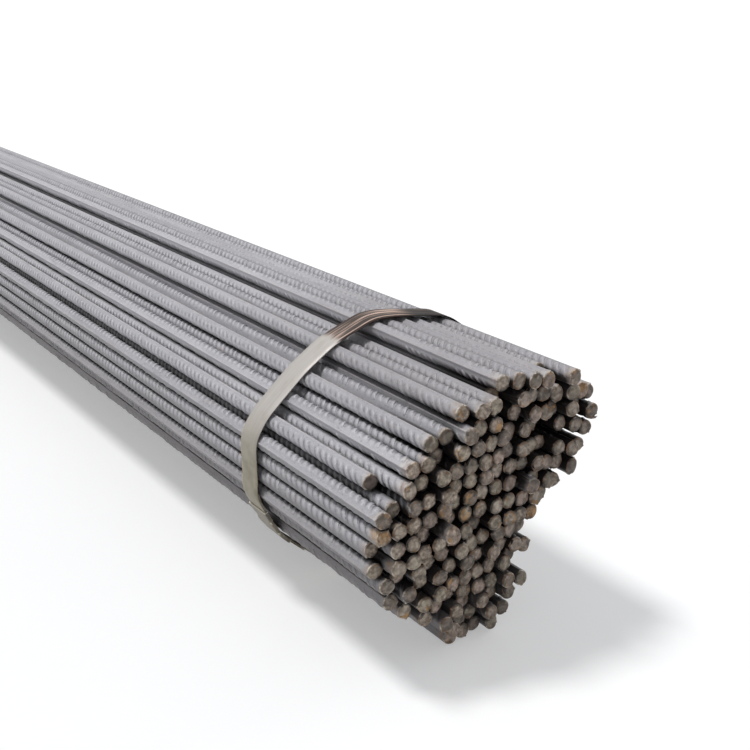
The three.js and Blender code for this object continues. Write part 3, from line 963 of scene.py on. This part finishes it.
def strap_section():
    """Outline of the strap, as a closed row of edges, with the place across it from -1 to 1."""
    half, thick = BAND_WIDTH / 2, BAND_THICKNESS / 2
    across = [BAND_ROUND - half, -half / 2, 0, half / 2, half - BAND_ROUND]
    outline = [(x, thick) for x in across] + [(half, thick / 3), (half, -thick / 3)]
    outline += [(x, -thick) for x in reversed(across)] + [(-half, -thick / 3), (-half, thick / 3)]
    mesh = bpy.data.meshes.new("strap section")
    count = len(outline)
    mesh.from_pydata([(y, x, 0) for x, y in outline], [(k, (k + 1) % count) for k in range(count)], [])
    store(mesh, "across", [x / half for x, y in outline])
    return add_object("strap section", mesh)


def strap_tree():
    """Sweeps a section along a path, with its face turned the way that the path's points say."""
    t = Tree("strap", Section="Object", Material="Material")
    profile = t.add("GeometryNodeMeshToCurve", (t.geometry_of(t.inputs["Section"]),))
    path = t.add("GeometryNodeMeshToCurve", (t.inputs["Geometry"],))
    facing = t.attribute("facing", "FLOAT_VECTOR")
    turned = t.add("GeometryNodeSetCurveNormal", {"Curve": path, "Normal": facing}, mode="FREE")
    sweep = t.add("GeometryNodeCurveToMesh", {"Curve": turned, "Profile Curve": profile, "Fill Caps": True})
    solid = t.add("GeometryNodeRealizeInstances", (sweep,))
    smoothed = t.add("GeometryNodeSetShadeSmooth", (solid, None, True))
    painted = t.add("GeometryNodeSetMaterial", {"Geometry": smoothed, "Material": t.inputs["Material"]})
    return t.shown(painted)


def strap_path(name, wrap, seal_run, x):
    """One turn of the strap and its lap, as points with the way that the strap faces and where it is."""
    start = seal_run - BAND_LAP / 2
    end = start + wrap.length + BAND_LAP
    climbed = start + wrap.length - BAND_PLAY
    points, facing = [], []
    values = {"top": [], "low": [], "past": []}
    highest, lowest = wrap.corners[:, 1].max(), wrap.corners[:, 1].min()
    for run in np.append(np.arange(start, end, STRAP_STEP), end):
        place, normal = wrap.at(run)
        lift = (BAND_THICKNESS + BAND_PLAY) * float(np.clip((run - climbed) / LAP_RAMP + 1, 0, 1))
        y, z = place + normal * (lift + BAND_THICKNESS / 2)
        points.append((x, y, max(z, BAND_THICKNESS / 2)))
        facing.extend((0, *normal))
        values["top"].append(smooth(z, *(highest - down for down in TOP_STRETCH)))
        values["low"].append(1 - smooth(z, *(lowest + up for up in LOW_STRETCH)))
        values["past"].append(smooth(y, *PAST_STRETCH) * smooth(normal[1], *PAST_FACING))
    mesh = bpy.data.meshes.new(name)
    mesh.from_pydata(points, [(k, k + 1) for k in range(len(points) - 1)], [])
    mesh.attributes.new("facing", "FLOAT_VECTOR", "POINT").data.foreach_set("vector", facing)
    for key, numbers in values.items():
        store(mesh, key, numbers)
    return mesh


def make_strap(number, wrap, seal_run, tree, section, finish):
    name = f"strap_{number}"
    low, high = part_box(f"band_{number}")
    piece = add_object(name, strap_path(name, wrap, seal_run, (low[0] + high[0]) / 2))
    add_tree(piece, tree, {"Section": section, "Material": finish})
    settle(piece)
    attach(piece, "root")
    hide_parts(f"band_{number}")


# ---- Seals -------------------------------------------------------------------

def sleeve_section():
    """Outline of the sleeve across the strap, as (across, height over the bars): a flat C, open below."""
    inside = BAND_WIDTH / 2 + BAND_PLAY
    outside = inside + SEAL_THICKNESS
    roof = 2 * (BAND_THICKNESS + BAND_PLAY)
    top = roof + SEAL_THICKNESS
    turn = [(outside + SEAL_BEND * (y - 1), top + SEAL_BEND * (z - 1))
            for y, z in ways_at(np.radians((0, 30, 60, 90)))]
    over = [(x * outside, top) for x in (0.84, 0.68, 0.5, 0.25)]
    right = [(inside, 0.0), (outside, 0.0)] + turn + over
    left = [(-x, height) for x, height in reversed(right)]
    under = [(x * inside, roof) for x in (-1, -0.8, -0.5, 0, 0.5, 0.8, 1)]
    return np.array(right + [(0.0, top)] + left + under)


def nip(u, across):
    """How much the crimps press a place of the sleeve, from 0 to 1."""
    outside = BAND_WIDTH / 2 + BAND_PLAY + SEAL_THICKNESS
    spacing = SEAL_LENGTH / (CRIMP_PAIRS + 1)
    crimps = [k * spacing - SEAL_LENGTH / 2 for k in range(1, CRIMP_PAIRS + 1)]
    pressed = max(math.exp(-((u - crimp) / CRIMP_SPREAD) ** 2) for crimp in crimps)
    return pressed * smooth(abs(across), CRIMP_REACH * outside, outside)


def seal_mesh(name, wrap, seal_run, x):
    section = sleeve_section()
    stations = np.linspace(-SEAL_LENGTH / 2, SEAL_LENGTH / 2, SEAL_STEPS + 1)
    points, faces, nips, lips = [], [], [], []
    for u in stations:
        place, normal = wrap.at(seal_run + u)
        for across, height in section:
            pressed = nip(u, across)
            moved = across - math.copysign(CRIMP_BITE, across) * pressed
            lift = height - CRIMP_PRESS * pressed * (height > BAND_THICKNESS / 2)
            y, z = place + normal * lift
            points.append((x + moved, y, z))
            nips.append(pressed)
            lips.append(2 * u / SEAL_LENGTH)
    around = len(section)
    for step in range(len(stations) - 1):
        for k in range(around):
            at, beside = step * around + k, step * around + (k + 1) % around
            faces.append((at, at + around, beside + around, beside))
    faces.append(tuple(range(around)))
    faces.append(tuple(range(len(points) - 1, len(points) - 1 - around, -1)))
    mesh = bpy.data.meshes.new(name)
    mesh.from_pydata(points, [], faces)
    mesh.shade_smooth()
    mesh.set_sharp_from_angle(angle=math.radians(SHARP_EDGE))
    store(mesh, "nip", nips)
    store(mesh, "lip", lips)
    return mesh


def make_seal(number, wrap, seal_run, finish):
    name = f"seal_{number}"
    low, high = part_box(f"band_seal_{number}")
    piece = add_object(name, seal_mesh(name, wrap, seal_run, (low[0] + high[0]) / 2), finish)
    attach(piece, "root")
    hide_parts(f"band_seal_{number}")


# ---- The scene ---------------------------------------------------------------

def main():
    scene = bpy.context.scene
    scene.view_settings.view_transform = "Standard"
    make_camera()
    make_world()
    for lamp in LAMPS:
        add_sun(*lamp)
    make_floor()

    layer_count = sum(node.startswith("bar_layer_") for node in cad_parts)
    layers = [bars_of(f"bar_layer_{k:02d}", k) for k in range(1, layer_count + 1)]
    all_bars = [bar for bars in layers for bar in bars]
    find_open_angles(all_bars)
    find_openness(all_bars)
    rib = add_object("crescent rib", rib_mesh())
    tree = rib_tree()
    finishes = (mill_scale(), sheared_steel())
    for number, bars in enumerate(layers, start=1):
        make_layer(number, bars, tree, rib, finishes)
    bpy.data.objects.remove(rib)

    wrap = WrapLine(all_bars)
    seal_run = wrap.run_at(SEAL_ANGLE)
    section, sweep = strap_section(), strap_tree()
    strap_finish, seal_finish = strap_steel(), seal_steel()
    band_count = sum(node.startswith("band_seal_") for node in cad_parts)
    for number in range(1, band_count + 1):
        make_strap(number, wrap, seal_run, sweep, section, strap_finish)
        make_seal(number, wrap, seal_run, seal_finish)
    bpy.data.objects.remove(section)


main()
